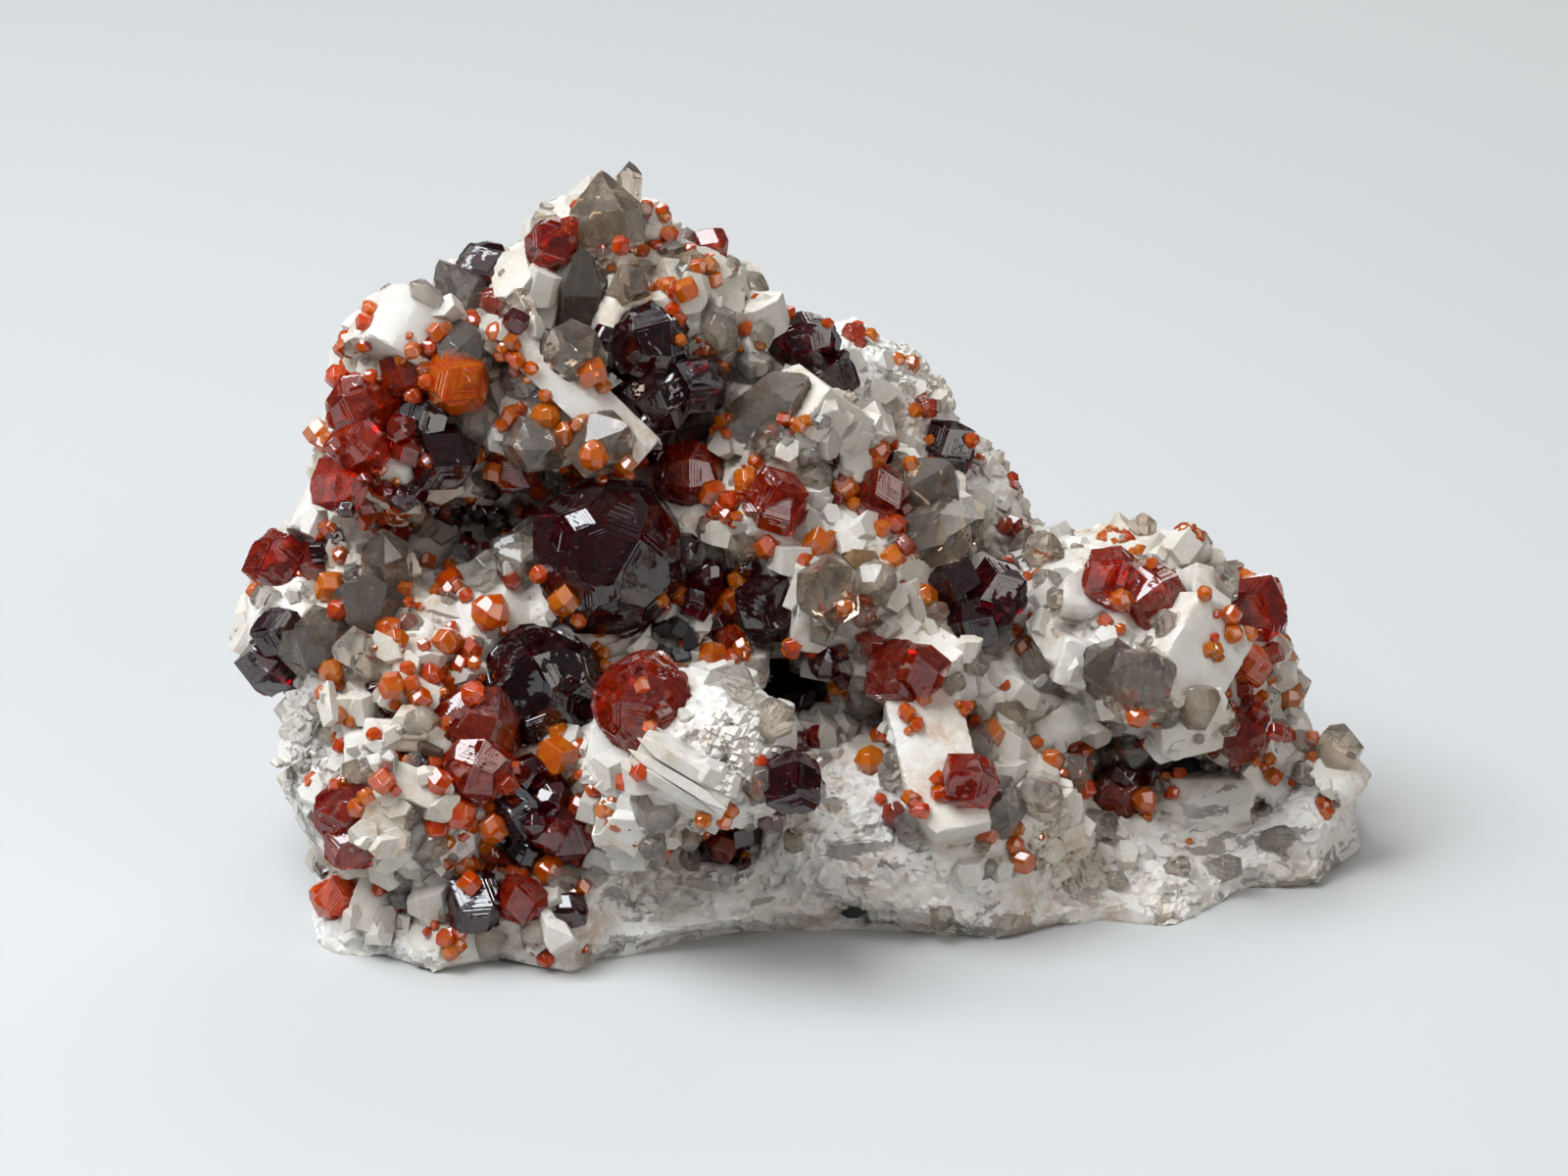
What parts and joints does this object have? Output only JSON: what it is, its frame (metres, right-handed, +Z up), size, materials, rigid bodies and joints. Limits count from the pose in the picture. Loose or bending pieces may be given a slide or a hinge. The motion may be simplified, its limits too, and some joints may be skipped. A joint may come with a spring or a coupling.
{
  "type": "spessartine on feldspar",
  "caption": "Mineral specimen that stands on a flat cut base: red and orange spessartine garnets and smoky quartz points on a rugged white feldspar matrix.",
  "frame": {"origin": "middle of the specimen's bounding box, on the flat cut base", "axes": "+Z up out of the base, +X to the right along the longest side, +Y away from the side that the picture shows"},
  "size_m": [0.1026, 0.0608, 0.0622],
  "materials": {
    "feldspar": "matte, granular, vitreous on crystal faces",
    "dark_garnet": "vitreous, nearly opaque purple-black to deep red",
    "red_garnet": "vitreous, translucent red",
    "orange_garnet": "vitreous, translucent orange",
    "smoky_quartz": "vitreous, clear grey-brown"
  },
  "bodies": {
    "root": {"feldspar": "feldspar", "garnet_back_right": "dark_garnet", "garnet_black_red": "dark_garnet", "garnet_brow_orange": "orange_garnet", "garnet_crest": "dark_garnet", "garnet_crimson": "red_garnet", "garnet_dark_below": "dark_garnet", "garnet_far_right": "red_garnet", "garnet_foot": "dark_garnet", "garnet_foot_right": "red_garnet", "garnet_front": "red_garnet", "garnet_hollow_rim": "red_garnet", "garnet_lantern": "orange_garnet", "garnet_largest": "dark_garnet", "garnet_ledge": "dark_garnet", "garnet_pair_left": "red_garnet", "garnet_right_low": "red_garnet", "garnet_right_orange": "orange_garnet", "garnet_round": "red_garnet", "garnet_ruby": "red_garnet", "garnet_scarlet": "red_garnet", "garnet_shaded": "dark_garnet", "garnet_slot": "red_garnet", "garnet_summit": "red_garnet", "garnet_under_lump": "dark_garnet", "garnets_apron": "dark_garnet", "garnets_back": "dark_garnet", "garnets_below": "red_garnet", "garnets_brow": "red_garnet", "garnets_facing": "dark_garnet", "garnets_left_edge": "red_garnet", "garnets_left_low": "dark_garnet", "garnets_lower_left": "red_garnet", "garnets_middle": "red_garnet", "garnets_right_top": "red_garnet", "garnets_shoulder": "red_garnet", "garnets_under_brow": "dark_garnet", "garnets_upper": "dark_garnet", "quartz_bright": "smoky_quartz", "quartz_brow": "smoky_quartz", "quartz_column": "smoky_quartz", "quartz_crest": "smoky_quartz", "quartz_domed": "smoky_quartz", "quartz_leaning": "smoky_quartz", "quartz_left": "smoky_quartz", "quartz_left_low": "smoky_quartz", "quartz_middle": "smoky_quartz", "quartz_notch": "smoky_quartz", "quartz_overhang": "smoky_quartz", "quartz_shining": "smoky_quartz", "quartz_smoky": "smoky_quartz", "quartz_spire": "smoky_quartz", "quartz_summit": "smoky_quartz", "quartz_twin_lower": "smoky_quartz", "quartz_twin_upper": "smoky_quartz", "quartz_upper": "smoky_quartz"}
  },
  "joints": []
}
